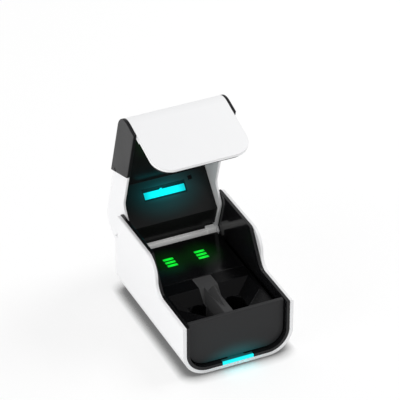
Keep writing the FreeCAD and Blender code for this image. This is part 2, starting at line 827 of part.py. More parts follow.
def board_parts():
    """Processor, choke, driver and capacitors, standing on the main board."""
    top = board_seat + board_thick
    middle = (board_left + board_right) / 2

    def square_part(share, side, height):
        y, half = board_front + board_length * share, side / 2
        return box(middle - half, middle + half, y - half, y + half, top, top + height)
    capacitors = [upright(capacitor_radius, top, top + capacitor_height,
                          middle + side * (capacitor_radius + weld), board_rear - 2 * capacitor_radius)
                  for side in (-1, 1)]
    return Part.makeCompound([square_part(0.2, chip_side, chip_thick),
                              square_part(0.5, choke_side, choke_height),
                              square_part(0.72, chip_side / 2, chip_thick)] + capacitors)


def blower_housing():
    """Radial blower: it draws air from above and sends it forward through the heater."""
    half = blower_side / 2
    low, high = tub_floor, tub_floor + blower_height
    case = slab("XY", eight_sided(blower_x, blower_y, half, half, blower_corner), low, high)
    cavity = upright(cavity_radius, low + blower_wall, high - blower_wall, blower_x, blower_y)
    outlet = box(blower_x - cavity_radius, blower_x + 1, blower_y - half - 1, blower_y,
                 low + blower_wall, high - blower_wall)
    inlet = upright(impeller_radius - inlet_margin, high - blower_wall - 1, high + 1, blower_x, blower_y)
    return case.cut([cavity, outlet, inlet])


def blower_shaft():
    return upright(shaft_radius, tub_floor + blower_wall, tub_floor + blower_height - 2 * blower_wall,
                   blower_x, blower_y)


def blower_impeller():
    """Disc with flat blades that lean back, round a hub."""
    low = tub_floor + blower_wall + impeller_lift
    tall = blower_height - 2 * blower_wall - 2 * impeller_lift
    wheel = [upright(impeller_radius, low, low + impeller_disc, 0, 0),
             upright(hub_radius, low, low + tall, 0, 0)]
    for i in range(blade_count):
        blade = box(0, impeller_radius - hub_radius, -blade_thick / 2, blade_thick / 2, low, low + tall)
        blade.rotate(V(0, 0, 0), V(0, 0, 1), -blade_lean)
        blade.translate(V(hub_radius - weld, 0, 0))
        blade.rotate(V(0, 0, 0), V(0, 0, 1), 360.0 * i / blade_count)
        wheel.append(blade)
    bore = upright(shaft_radius + pin_running_gap, low - 1, low + tall + 1, 0, 0)
    impeller = joined(wheel).cut(bore)
    impeller.translate(V(blower_x, blower_y, 0))
    return impeller


def heater_block():
    """Finned aluminium heater in the air's way, between the blower and the wells."""
    back = blower_y - blower_side / 2 - works_gap
    front = back - heater_length
    x0, x1 = blower_x - cavity_radius - weld, blower_x + blower_corner
    low, high = tub_floor, tub_floor + blower_height
    pitch = fin_gap + fin_thick
    count = int((x1 - x0 - 2 * fin_thick) / pitch)
    first = (x0 + x1) / 2 - (count * pitch - fin_thick) / 2
    gaps = [box(first + i * pitch, first + i * pitch + fin_gap, front - 1, back + 1,
                low + heater_wall, high - heater_wall) for i in range(count)]
    return box(x0, x1, front, back, low, high).cut(gaps)


def magnet_block(front, grow):
    """A magnet's block, or its pocket when grown."""
    half = magnet_side / 2 + grow
    return box(magnet_offset - half, magnet_offset + half, front - grow, front + magnet_thick,
               magnet_high - half, magnet_high + half)


def base_magnets():
    return pair(magnet_block(panel_back, 0))


def interlock_sensor():
    """Lid sensor beside the left magnet: the lamp only lights while the lid is shut."""
    wide, deep, tall = sensor_size
    x = -magnet_offset + magnet_side / 2 + sensor_gap
    return box(x, x + wide, panel_back, panel_back + deep, magnet_high - tall / 2, magnet_high + tall / 2)


# ---------------------------------------------------------------- lid, drawn closed
def skin_view(inset, low_front, low_rear):
    """The lid seen from the side, inset from its outer face: brow, flat top and rounded tail."""
    return [(lid_front + inset, low_front, 0), (lid_front + inset, lid_top - inset, brow_radius - inset),
            (lid_rear - inset, lid_top - inset, rear_radius - inset), (lid_rear - inset, low_rear, 0)]


def lid_skin():
    """Flap, brow, top and tail as one bent sheet, with the flap's corners rounded."""
    skin = slab("YZ", skin_view(0, flap_low, skin_end) + skin_view(lid_wall, flap_low, skin_end)[::-1],
                -lid_half, lid_half)
    front_view = slab("XZ", [(-lid_half, flap_low, flap_corner), (lid_half, flap_low, flap_corner),
                             (lid_half, lid_top + 1, 0), (-lid_half, lid_top + 1, 0)],
                      lid_front - 1, lid_rear + 1)
    return skin.common(front_view)


def cheek():
    """Right side wall of the lid, with the arm that runs down to the hinge."""
    inset = lid_wall - fit
    front, back, top = lid_front + inset, lid_rear - inset / 2, lid_top - inset
    side_view = [(front, cheek_rim, 0), (hinge_back - cheek_bend, cheek_rim, cheek_bend_radius),
                 (hinge_back - arm_start, hinge_high, arm_bend_radius), (back, hinge_high, 0),
                 (back, top, rear_radius - inset / 2), (front, top, brow_radius - inset)]
    plate = slab("YZ", side_view, cheek_inner, lid_half)
    clear = rod(roll_radius + roll_gap, 6, V(cheek_inner - 1, hinge_back, hinge_high), V(1, 0, 0))
    tail = box(cheek_inner - 1, lid_half + 1, hinge_back, lid_rear + 1, hinge_high - 1, skin_end)
    reach = roll_radius + roll_gap + 2
    arm = slab("YZ", [(hinge_back - reach, hinge_high, 0), (hinge_back, hinge_high, 0),
                      (hinge_back, hinge_high + arm_boss_radius, 0),
                      (hinge_back - reach, hinge_high + arm_shoulder, 0)], cheek_inner, lid_half)
    boss = rod(arm_boss_radius, cheek_thick, V(cheek_inner, hinge_back, hinge_high), V(1, 0, 0))
    hole = rod(pin_radius + pin_running_gap, 6, V(cheek_inner - 1, hinge_back, hinge_high), V(1, 0, 0))
    return joined([plate.cut([clear, tail]), arm, boss]).cut(hole)


def lid_shell():
    """White lid: one moulding of skin, side cheeks, hinge arms and the flap's small side hooks."""
    right = cheek()
    inset = lid_wall - fit
    hook = box(cheek_inner, lid_half - fit, lid_front + inset, lid_front + inset + hook_depth,
               cap_low - hook_drop, cheek_rim + weld)
    return joined([lid_skin(), right, mirrored(right), both_sides(hook)])


def side_cap():
    """Dark trim on the right side of the lid; closed, it fills the step beside the wells."""
    lean = slope_run / (high_wall - low_wall)
    foot = slope_foot - cap_slope_gap
    top = foot + lean * (lid_top - low_wall)
    outer = lid_half + cap_thick
    side_view = [(lid_front, cap_low, 0), (foot, cap_low, cap_foot_radius), (top, lid_top, 0),
                 (lid_front, lid_top, brow_radius)]
    cap = slab("YZ", side_view, lid_half, outer)
    return cap.makeChamfer(cap_chamfer, edges_where(cap, lambda p: near(p.x, outer)))


def inside_skin(margin):
    """Everything inside the lid's skin, as one solid for trimming linings."""
    return slab("YZ", skin_view(lid_wall + margin, flap_low - 1, hinge_high - 1), -lid_half, lid_half)


def on_slope(shape):
    """Move a piece from the slope's own frame (y down the slope, z into the lid) to its place."""
    steep = math.degrees(math.atan2(ceiling - liner_low, crease_front - crease_rear))
    turned = shape.copy()
    turned.rotate(V(0, 0, 0), V(1, 0, 0), -steep)
    turned.translate(V(0, hinge_back - crease_front, ceiling))
    return turned


def eye_box(gap, low, high):
    """The sensor window's square, grown by a gap, between two depths."""
    half = eye_side / 2 + gap
    return box(eye_offset - half, eye_offset + half, eye_from_crease - half, eye_from_crease + half,
               low, high)


def lid_liner():
    """Black faceted ceiling: flat over the wells, then a slope with the lamp, then a low tail."""
    t = liner_thick
    first, second, end = hinge_back - crease_front, hinge_back - crease_rear, hinge_back - liner_end
    steep = math.atan2(ceiling - liner_low, second - first)
    back = t * math.tan(steep / 2)
    side_view = [(lining_back, ceiling, 0), (first, ceiling, 0), (second, liner_low, 0),
                 (end, liner_low, 0), (end, liner_low + t, 0), (second + back, liner_low + t, 0),
                 (first + back, ceiling + t, 0), (lining_back, ceiling + t, 0)]
    liner = slab("YZ", side_view, -liner_half, liner_half)
    window = box(-lamp_tray_length / 2, lamp_tray_length / 2, lamp_from_crease,
                 lamp_from_crease + lamp_tray_width, -1, t + 1)
    return liner.cut([on_slope(window), on_slope(eye_box(eye_gap, -1, t + 1))]).common(inside_skin(fit))


def lamp_tray():
    """Sunken black tray round the lamp."""
    t = lamp_tray_wall
    x, y0, y1 = lamp_tray_length / 2, lamp_from_crease, lamp_from_crease + lamp_tray_width
    outer = box(-x + bar_gap, x - bar_gap, y0 + bar_gap, y1 - bar_gap, bar_gap, lamp_tray_depth)
    inner = box(-x + t, x - t, y0 + t, y1 - t, -1, lamp_sunk + lamp_thick)
    half = emitter_side / 2 + works_gap
    slot = box(-lamp_length / 2 + 1, lamp_length / 2 - 1, lamp_line - half, lamp_line + half,
               0, lamp_tray_depth + 1)
    return on_slope(outer.cut([inner, slot]))


def uv_lamp():
    """The glowing window of the UV lamp, on the floor of its tray."""
    half = lamp_width / 2
    bar = box(-lamp_length / 2, lamp_length / 2, lamp_line - half, lamp_line + half,
              lamp_sunk, lamp_sunk + lamp_thick)
    tip = upright(lamp_tip_radius, lamp_sunk, lamp_sunk + lamp_thick, -lamp_tip_offset, lamp_line - half)
    return on_slope(joined([bar, tip]))


def lamp_board():
    """Lamp circuit board behind the tray, with its row of emitters."""
    top = lamp_tray_depth
    half = emitter_side / 2
    board = box(-lamp_length / 2 - 2, lamp_length / 2 + 2, lamp_from_crease - weld,
                lamp_from_crease + lamp_tray_width + weld, top, top + board_thick)
    emitters = []
    for i in range(emitter_count):
        x = (i - (emitter_count - 1) / 2) * emitter_pitch
        emitters.append(box(x - half, x + half, lamp_line - half, lamp_line + half,
                            lamp_sunk + lamp_thick + fit, top + fit))
    return on_slope(joined([board] + emitters))


def lid_eye():
    """Small dark sensor window beside the lamp."""
    return on_slope(eye_box(0, eye_sunk, liner_thick + weld))


def flap_lining():
    """Black lining on the inside of the flap, which plugs the recess in the front."""
    half, low = liner_half, flap_low + lining_margin
    corner = flap_corner - (lid_half - liner_half)
    plate = slab("XZ", [(-half, low, corner), (half, low, corner), (half, ceiling + liner_thick, 0),
                        (-half, ceiling + liner_thick, 0)], lid_front + lid_wall, lining_back)
    pocket = magnet_block(lining_magnet_front(), magnet_fit)
    return plate.common(inside_skin(fit / 2)).cut([pocket, mirrored(pocket)])


def lining_magnet_front():
    return lining_back - works_gap - magnet_thick


def lid_magnets():
    return pair(magnet_block(lining_magnet_front(), 0))


# ---------------------------------------------------------------- write every piece
housing_pieces = {
    "outer_shell": outer_shell(), "rubber_pad": rubber_pad(), "inner_tub": inner_tub(),
    "front_panel": front_panel(), "start_key": start_key(), "key_switch": key_switch(),
    "well_insert": well_insert(), "display_deck": display_deck(), "status_lights_left": status_lights(-1),
    "status_lights_right": status_lights(1), "indicator_board": indicator_board(),
    "base_screws": base_screws(), "charge_coils": charge_coils(), "hinge_pins": hinge_pins(),
    "hinge_rail": hinge_rail(), "rear_cover": rear_cover(), "power_socket": power_socket(),
    "socket_board": socket_board(), "main_board": main_board(), "board_parts": board_parts(),
    "blower_housing": blower_housing(), "blower_shaft": blower_shaft(),
    "blower_impeller": blower_impeller(), "heater_block": heater_block(),
    "base_magnets": base_magnets(), "interlock_sensor": interlock_sensor(),
}
lid_pieces = {
    "lid_shell": lid_shell(), "side_cap_left": mirrored(side_cap()), "side_cap_right": side_cap(),
    "lid_liner": lid_liner(), "flap_lining": flap_lining(), "lamp_tray": lamp_tray(),
    "uv_lamp": uv_lamp(), "lamp_board": lamp_board(), "lid_eye": lid_eye(),
    "lid_magnets": lid_magnets(),
}
for name, shape in housing_pieces.items():
    write(name, shape)
for name, shape in lid_pieces.items():
    write(name, opened(shape))
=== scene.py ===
import math

import bmesh
import bpy
from mathutils import Matrix, Vector


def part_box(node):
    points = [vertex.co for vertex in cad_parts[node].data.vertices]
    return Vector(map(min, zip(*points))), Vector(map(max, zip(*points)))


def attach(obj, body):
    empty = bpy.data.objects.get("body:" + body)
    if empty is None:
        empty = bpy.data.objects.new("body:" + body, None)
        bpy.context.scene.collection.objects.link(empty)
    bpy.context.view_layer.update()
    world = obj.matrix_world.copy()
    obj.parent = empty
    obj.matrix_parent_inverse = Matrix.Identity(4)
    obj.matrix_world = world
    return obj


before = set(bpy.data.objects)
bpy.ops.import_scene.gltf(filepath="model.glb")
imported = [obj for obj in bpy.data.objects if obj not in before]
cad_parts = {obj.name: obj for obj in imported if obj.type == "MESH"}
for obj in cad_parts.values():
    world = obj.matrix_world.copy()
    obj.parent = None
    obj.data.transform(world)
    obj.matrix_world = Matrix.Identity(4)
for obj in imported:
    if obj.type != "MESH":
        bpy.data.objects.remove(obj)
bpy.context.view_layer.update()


# ---------------------------------------------------------------- camera
# A long lens from the front left and above, level, aimed a little to the left of the pod. It is
# placed in the housing's own frame, in millimetres: y 0 at the front of the housing, z 0 under
# the shell. The part's frame has its origin mid-footprint on the tabletop.
HOUSING_TO_PART = Vector((0.0, -44.5, 0.6))
MILLIMETRE = 0.001
LENS_LENGTH, FILM_WIDTH = 252.0, 36.0
NEAREST, FARTHEST = 0.05, 20.0


def look_from(azimuth, elevation, offset_right, offset_up, distance):
    """Camera at a distance along its own view axis, offset sideways and up in its own plane."""
    a, e = math.radians(azimuth), math.radians(elevation)
    back = Vector((math.sin(a) * math.cos(e), -math.cos(a) * math.cos(e), math.sin(e)))
    right = Vector((math.cos(a), math.sin(a), 0.0))
    up = back.cross(right)
    place = right * offset_right + up * offset_up + back * distance + HOUSING_TO_PART
    turned = Matrix((right, up, back)).transposed().to_4x4()
    camera = bpy.data.objects.new("camera", bpy.data.cameras.new("camera"))
    bpy.context.scene.collection.objects.link(camera)
    camera.matrix_world = Matrix.Translation(place * MILLIMETRE) @ turned
    camera.data.lens = LENS_LENGTH
    camera.data.sensor_width = FILM_WIDTH
    camera.data.clip_start, camera.data.clip_end = NEAREST, FARTHEST
    bpy.context.scene.camera = camera


look_from(azimuth=-24.86, elevation=33.46, offset_right=-21.0, offset_up=89.7, distance=1531.7)
bpy.context.scene.view_settings.view_transform = "Standard"


# ---------------------------------------------------------------- tabletop, room and lamps
# A white seamless tabletop that keeps the pod's soft shadow, with a painted contact shadow round
# its foot. A wide soft lamp stands above to the right, a weaker one to the front left, and the
# walls of the room give the rest.
WALL_GREY = (0.8, 0.8, 0.8)
ROOM_LEVEL = 0.86          # how brightly the walls light the pod, against how they look
TABLE_HALF = 4.0
TABLE_WHITE = (0.985, 0.985, 0.985)
TABLE_GLOW = 0.68          # share of the tabletop's white that no lamp's shadow darkens; the painted contact shadow still does
TABLE_CONTACT = 0.0085     # how far from the pod's foot the painted contact shadow reaches
TABLE_PAINTED_SHADOW = 0.2         # how dark the painted contact shadow is where the pod meets the tabletop
PAINTED_SHADOW_FADE = (0.5, 0.98)  # the shares of open sky at which that dark begins to lift, and is gone


def mesh_piece(name, build, finish):
    """A new piece whose mesh is made by build(bm), in one finish."""
    bm = bmesh.new()
    build(bm)
    mesh = bpy.data.meshes.new(name)
    bm.to_mesh(mesh)
    bm.free()
    mesh.materials.append(finish)
    piece = bpy.data.objects.new(name, mesh)
    bpy.context.scene.collection.objects.link(piece)
    return piece


def add_node(tree, kind, **settings):
    """A shader node with its settings and socket values. Sockets are named with _ for a space."""
    node = tree.nodes.new(kind)
    for key, value in settings.items():
        socket = key.replace("_", " ")
        if socket in node.inputs:
            node.inputs[socket].default_value = value
        else:
            setattr(node, key, value)
    return node


def maths(tree, operation, *values):
    """The result of one sum on numbers or sockets."""
    node = add_node(tree, "ShaderNodeMath", operation=operation)
    for socket, value in zip(node.inputs, values):
        if isinstance(value, (int, float)):
            socket.default_value = value
        else:
            tree.links.new(value, socket)
    return node.outputs[0]


def ramp(tree, value, start, end, low=0.0, high=1.0, curve="LINEAR"):
    """Goes from low to high while the value goes from start to end."""
    node = add_node(tree, "ShaderNodeMapRange", interpolation_type=curve,
                    From_Min=start, From_Max=end, To_Min=low, To_Max=high)
    tree.links.new(value, node.inputs["Value"])
    return node.outputs["Result"]


def toned(colour, share):
    """A colour made darker or lighter."""
    return tuple(min(1.0, c * share) for c in colour)


def blend(tree, share, first, second):
    """From the first colour to the second by a share; each is a colour or a socket."""
    node = add_node(tree, "ShaderNodeMix", data_type="RGBA")
    tree.links.new(share, node.inputs["Factor"])
    for key, colour in (("A", first), ("B", second)):
        if isinstance(colour, tuple):
            node.inputs[key].default_value = (*colour, 1.0)
        else:
            tree.links.new(colour, node.inputs[key])
    return node.outputs["Result"]


def show_mix(tree, out, share, first, second):
    """Show the first shader, and the second one over it by a share."""
    mix = tree.nodes.new("ShaderNodeMixShader")
    tree.links.new(share, mix.inputs["Fac"])
    tree.links.new(first.outputs[0], mix.inputs[1])
    tree.links.new(second.outputs[0], mix.inputs[2])
    tree.links.new(mix.outputs[0], out.inputs["Surface"])


def seen_ray(tree):
    """1 for what the eye sees, directly, in a reflection or through something clear."""
    path = tree.nodes.new("ShaderNodeLightPath").outputs
    either = maths(tree, "MAXIMUM", path["Is Camera Ray"], path["Is Glossy Ray"])
    return maths(tree, "MAXIMUM", either, path["Is Transmission Ray"])


def room_light():
    """Pale walls all round, a little dimmer as a light than as the eye sees them."""
    world = bpy.data.worlds.new("room")
    bpy.context.scene.world = world
    world.use_nodes = True
    tree = world.node_tree
    tree.nodes.clear()
    walls = add_node(tree, "ShaderNodeBackground", Color=(*WALL_GREY, 1.0), Strength=ROOM_LEVEL)
    seen = add_node(tree, "ShaderNodeBackground", Color=(*WALL_GREY, 1.0), Strength=1.0)
    show_mix(tree, tree.nodes.new("ShaderNodeOutputWorld"), seen_ray(tree), walls, seen)


def tabletop_finish():
    """Matt white board, darker round the pod's foot as a painted contact shadow. The eye sees part
    of its white unshaded by any lamp, so that it stays white."""
    finish = bpy.data.materials.new("tabletop_white")
    finish.use_nodes = True
    tree = finish.node_tree
    tree.nodes.clear()
    # painted shadow: the board darkens where little open sky reaches it, round the pod's foot
    contact = add_node(tree, "ShaderNodeAmbientOcclusion", Distance=TABLE_CONTACT, samples=12)
    open_sky = ramp(tree, contact.outputs["AO"], *PAINTED_SHADOW_FADE)
    shade = blend(tree, open_sky, toned(TABLE_WHITE, TABLE_PAINTED_SHADOW), TABLE_WHITE)
    board = tree.nodes.new("ShaderNodeBsdfDiffuse")
    white = add_node(tree, "ShaderNodeEmission", Strength=1.0)
    tree.links.new(shade, board.inputs["Color"])
    tree.links.new(shade, white.inputs["Color"])
    share = maths(tree, "MULTIPLY", seen_ray(tree), TABLE_GLOW)
    show_mix(tree, tree.nodes.new("ShaderNodeOutputMaterial"), share, board, white)
    return finish


def tabletop_board(bm):
    """One wide flat face."""
    bmesh.ops.create_grid(bm, x_segments=1, y_segments=1, size=TABLE_HALF)


def soft_lamp(name, place, target, size, power, colour=(1.0, 1.0, 1.0)):
    """A flat rectangular lamp that faces its target."""
    data = bpy.data.lights.new(name, "AREA")
    data.shape = "RECTANGLE"
    data.size, data.size_y = size
    data.energy = power
    data.color = colour
    lamp = bpy.data.objects.new(name, data)
    bpy.context.scene.collection.objects.link(lamp)
    lamp.location = place
    lamp.rotation_euler = (Vector(target) - Vector(place)).to_track_quat("-Z", "Y").to_euler()


room_light()
tabletop = mesh_piece("tabletop", tabletop_board, tabletop_finish())
soft_lamp("key_lamp", place=(0.75, 0.05, 1.0), target=(0, 0, 0.04), size=(0.6, 0.6), power=6.0)
soft_lamp("fill_lamp", place=(-1.1, -0.25, 0.35), target=(0, 0, 0.05), size=(0.9, 0.6), power=5.0)


# ---------------------------------------------------------------- black tub
# The chassis: one injection moulding in black ABS, with a piano finish on the walls that show.
# Everything else in the housing is screwed, clipped or bonded to it.
GLOSS_BLACK = (0.0065, 0.0065, 0.0072)
POLISH_PATCHES = 55.0      # a metre
TOOL_GRAIN_RISE = 0.0002   # height of a moulding's grain at full depth


def new_finish(name):
    """A finish with one plain shader, and that shader's tree and node."""
    finish = bpy.data.materials.new(name)
    finish.use_nodes = True
    return finish, finish.node_tree, finish.node_tree.nodes["Principled BSDF"]


def place_on(tree):
    """Places on the piece, in metres."""
    return tree.nodes.new("ShaderNodeTexCoord").outputs["Object"]


def cloud(tree, where, **settings):
    """Soft uneven patches, from 0 to 1."""
    noise = add_node(tree, "ShaderNodeTexNoise", **settings)
    tree.links.new(where, noise.inputs["Vector"])
    return noise.outputs["Fac"]


def emboss(tree, bsdf, height, strength, rise):
    """Let a height from 0 to 1 show in how the surface catches light."""
    bump = add_node(tree, "ShaderNodeBump", Strength=strength, Distance=rise)
    tree.links.new(height, bump.inputs["Height"])
    tree.links.new(bump.outputs["Normal"], bsdf.inputs["Normal"])
    return bump


def moulded(name, colour, rough, grain, depth, mottle=0.25, drift=0.06, edge=0.0, shine=0.5):
    """Moulded plastic: the tool's fine grain, an uneven polish and a slight drift of colour.
    An edge is the radius to which the finish rounds its corners."""
    finish, tree, bsdf = new_finish(name)
    bsdf.inputs["Specular IOR Level"].default_value = shine
    where = place_on(tree)
    fine = cloud(tree, where, Scale=grain, Detail=3.0, Roughness=0.6)
    broad = cloud(tree, where, Scale=POLISH_PATCHES, Detail=2.0)
    polish = ramp(tree, broad, 0.0, 1.0, rough * (1 - mottle), rough * (1 + mottle))
    tint = blend(tree, broad, toned(colour, 1 - drift), toned(colour, 1 + drift))
    tree.links.new(polish, bsdf.inputs["Roughness"])
    tree.links.new(tint, bsdf.inputs["Base Color"])
    bump = emboss(tree, bsdf, fine, depth, TOOL_GRAIN_RISE)
    if edge:
        rounded = add_node(tree, "ShaderNodeBevel", samples=6, Radius=edge)
        tree.links.new(rounded.outputs["Normal"], bump.inputs["Normal"])
    return finish


def dress(finish, *names):
    """Give pieces of the frame a finish."""
    for name in names:
        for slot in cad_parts[name].material_slots:
            slot.link = "OBJECT"
            slot.material = finish


dress(moulded("tub_black", GLOSS_BLACK, rough=0.12, grain=900.0, depth=0.01, edge=0.00025,
              shine=0.3), "inner_tub")


# ---------------------------------------------------------------- white shell
# A U-shaped sleeve moulded in white ABS, bonded round the tub. Its sides step up in an S beside
# the chamber, and its long lower edges are one large round.
SHELL_WHITE = (0.82, 0.822, 0.83)


def white_abs(name, rough):
    """White with a soft even gloss, its corners eased."""
    return moulded(name, SHELL_WHITE, rough, grain=1600.0, depth=0.04, mottle=0.12, drift=0.006,
                   edge=0.0004)


dress(white_abs("shell_white", rough=0.37), "outer_shell")


# ---------------------------------------------------------------- rubber pad
# Black silicone, moulded flat with two cross grooves, stuck into its recess under the shell.
# It hides the heads of the three base screws.
PAD_BLACK = (0.02, 0.02, 0.021)

dress(moulded("pad_rubber", PAD_BLACK, rough=0.82, grain=2400.0, depth=0.7, drift=0.15,
              edge=0.0003), "rubber_pad")


# ---------------------------------------------------------------- base screws
# Three pan-head screws in bright zinc-plated steel, driven up through the tub's floor into the
# posts of the well insert and the deck.
ZINC = (0.55, 0.56, 0.58)
MARK_RISE = 0.0001         # height of the marks in drawn metal at full depth
MARK_POLISH = (0.6, 1.5)   # how rough the metal is between the marks and on them
MARK_TONE = (0.86, 1.1)    # and how bright


def drawn_metal(name, colour, rough, stretch, depth=0.25):
    """Bright metal with fine marks along its length: stretch gives the marks on each axis."""
    finish, tree, bsdf = new_finish(name)
    bsdf.inputs["Metallic"].default_value = 1.0
    lines = add_node(tree, "ShaderNodeMapping", Scale=stretch)
    tree.links.new(place_on(tree), lines.inputs["Vector"])
    marks = cloud(tree, lines.outputs["Vector"], Scale=1.0, Detail=3.0, Roughness=0.7)
    dull = ramp(tree, marks, 0.0, 1.0, rough * MARK_POLISH[0], rough * MARK_POLISH[1])
    tint = blend(tree, marks, toned(colour, MARK_TONE[0]), toned(colour, MARK_TONE[1]))
    tree.links.new(dull, bsdf.inputs["Roughness"])
    tree.links.new(tint, bsdf.inputs["Base Color"])
    emboss(tree, bsdf, marks, depth, MARK_RISE)
    return finish


dress(drawn_metal("zinc_screw", ZINC, rough=0.28, stretch=(500, 500, 9000)), "base_screws")


# ---------------------------------------------------------------- charging coils
# Two flat square coils wound from enamelled copper wire, glued to the tub's floor under the
# wells.
COPPER = (0.71, 0.32, 0.14)
COIL_MIDDLE = (0.0104, -0.0210)
WIRE_PITCH = 0.00036
WIRE_RISE = 0.0001
LAYER_SHARE = 0.6          # how plainly the layers show, against the turns
GAP_TONE = 0.25            # how dark the copper is between turns


def axes_of(tree, vector):
    """The x, y and z of a place or a direction."""
    axes = tree.nodes.new("ShaderNodeSeparateXYZ")
    tree.links.new(vector, axes.inputs[0])
    return [axes.outputs[axis] for axis in "XYZ"]


def distance_from(tree, value, middle):
    """How far a value is from a middle, on either side."""
    return maths(tree, "ABSOLUTE", maths(tree, "SUBTRACT", value, middle))


def wound_copper():
    """Enamelled wire in square turns round each coil's middle, dark in the gaps between turns."""
    finish, tree, bsdf = new_finish("wound_copper")
    bsdf.inputs["Metallic"].default_value = 0.85
    bsdf.inputs["Roughness"].default_value = 0.3
    bsdf.inputs["Coat Weight"].default_value = 0.6
    x, y, z = axes_of(tree, place_on(tree))
    across = distance_from(tree, maths(tree, "ABSOLUTE", x), COIL_MIDDLE[0])
    along = distance_from(tree, y, COIL_MIDDLE[1])
    outward = maths(tree, "MAXIMUM", across, along)
    turns = maths(tree, "SINE", maths(tree, "MULTIPLY", outward, math.tau / WIRE_PITCH))
    layers = maths(tree, "SINE", maths(tree, "MULTIPLY", z, math.tau / WIRE_PITCH))
    crown = maths(tree, "MAXIMUM", turns, maths(tree, "MULTIPLY", layers, LAYER_SHARE))
    wire = ramp(tree, crown, start=-0.6, end=0.7)
    colour = blend(tree, wire, toned(COPPER, GAP_TONE), COPPER)
    tree.links.new(colour, bsdf.inputs["Base Color"])
    emboss(tree, bsdf, wire, strength=0.8, rise=WIRE_RISE)
    return finish


dress(wound_copper(), "charge_coils")


# ---------------------------------------------------------------- main board and its parts
# A glass-fibre board on square standoffs, lacquered green over its copper tracks. On it stand
# the processor, a choke, a driver and two capacitors, soldered by tinned legs.
LACQUER = (0.008, 0.085, 0.032)
TRACK = (0.018, 0.17, 0.06)
PAD_GOLD = (0.83, 0.6, 0.22)
TRACK_RISE = 0.0001
RESIN_BLACK = (0.016, 0.016, 0.017)
TIN = (0.62, 0.62, 0.6)
LEG_FADE = 0.1             # share of the legs' height over which the tin gives way to resin


def circuit_board():
    """Green lacquer over square-cornered copper tracks, with small plated pads."""
    finish, tree, bsdf = new_finish("board_green")
    where = place_on(tree)
    tracks = add_node(tree, "ShaderNodeTexBrick", Scale=420.0, Mortar_Size=0.09,
                      Mortar_Smooth=0.3, Brick_Width=1.9, Row_Height=0.55,
                      Color1=(*LACQUER, 1.0), Color2=(*toned(LACQUER, 0.8), 1.0),
                      Mortar=(*TRACK, 1.0))
    pads = add_node(tree, "ShaderNodeTexVoronoi", Scale=520.0, Randomness=0.75)
    tree.links.new(where, tracks.inputs["Vector"])
    tree.links.new(where, pads.inputs["Vector"])
    plated = ramp(tree, pads.outputs["Distance"], start=0.2, end=0.14)
    gloss = ramp(tree, plated, 0.0, 1.0, low=0.38, high=0.22)
    colour = blend(tree, plated, tracks.outputs["Color"], PAD_GOLD)
    tree.links.new(colour, bsdf.inputs["Base Color"])
    tree.links.new(plated, bsdf.inputs["Metallic"])
    tree.links.new(gloss, bsdf.inputs["Roughness"])
    emboss(tree, bsdf, tracks.outputs["Fac"], strength=0.35, rise=TRACK_RISE)
    return finish


def tree_of(finish):
    """A finish's tree, and the shader in it."""
    return finish.node_tree, finish.node_tree.nodes["Principled BSDF"]


def lay_over(finish, share, colour):
    """Lay a second colour over a finish, by a share."""
    tree, bsdf = tree_of(finish)
    ground = bsdf.inputs["Base Color"].links[0].from_socket
    tree.links.new(blend(tree, share, ground, colour), bsdf.inputs["Base Color"])


def legged(name, low, rise):
    """Black resin parts whose lowest edge, up to a rise above the board, is tinned metal."""
    finish = moulded(name, RESIN_BLACK, rough=0.45, grain=3200.0, depth=0.25, drift=0.2)
    tree, bsdf = tree_of(finish)
    height = axes_of(tree, place_on(tree))[2]
    foot = ramp(tree, height, low + rise * (1 + LEG_FADE), low + rise * (1 - LEG_FADE))
    lay_over(finish, foot, TIN)
    tree.links.new(foot, bsdf.inputs["Metallic"])
    return finish


board_green = circuit_board()
dress(board_green, "main_board")
dress(legged("board_resin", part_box("board_parts")[0][2], rise=0.0004), "board_parts")


# ---------------------------------------------------------------- blower
# A small radial fan on the tub's floor: an eight-sided case in matt black nylon, a steel shaft,
# and a seven-bladed wheel that draws air from above and throws it at the heater.
NYLON_BLACK = (0.014, 0.014, 0.0145)
WHEEL_BLACK = (0.022, 0.022, 0.024)
GROUND_STEEL = (0.62, 0.61, 0.6)

dress(moulded("fan_nylon", NYLON_BLACK, rough=0.55, grain=2600.0, depth=0.35, edge=0.0002),
      "blower_housing")
dress(moulded("fan_wheel", WHEEL_BLACK, rough=0.34, grain=1800.0, depth=0.12, edge=0.00015),
      "blower_impeller")
dress(drawn_metal("ground_steel", GROUND_STEEL, rough=0.2, stretch=(400, 400, 8000)),
      "blower_shaft")


# ---------------------------------------------------------------- heater
# An extruded aluminium block whose fins warm the air on its way to the wells. The saw leaves
# fine marks along the fins.
FIN_ALUMINIUM = (0.73, 0.735, 0.75)

dress(drawn_metal("fin_aluminium", FIN_ALUMINIUM, rough=0.36, stretch=(9000, 300, 6000)),
      "heater_block")


# ---------------------------------------------------------------- power inlet and its board
# A drawn steel shell with a black tongue, soldered to its own small board at the back. Eight
# gilt contacts lie on the tongue's upper side.
INLET_STEEL = (0.66, 0.66, 0.67)
TONGUE_BAND = 0.0005       # half the height round the tongue's middle that is resin
TONGUE_SIDE = 0.0009       # what the resin leaves at each side, as steel
TONGUE_HALF = 0.00035      # half the tongue's thickness
CONTACT_COUNT = 8
CONTACT_ROW = 0.0056
CONTACT_WIDE, CONTACT_LONG, CONTACT_THICK = 0.0003, 0.0034, 0.00005
CONTACT_SET_BACK = 0.0013  # from the inlet's mouth
CONTACT_EASE = 0.00002     # round of the contacts' edges, and how deep they lie in the tongue


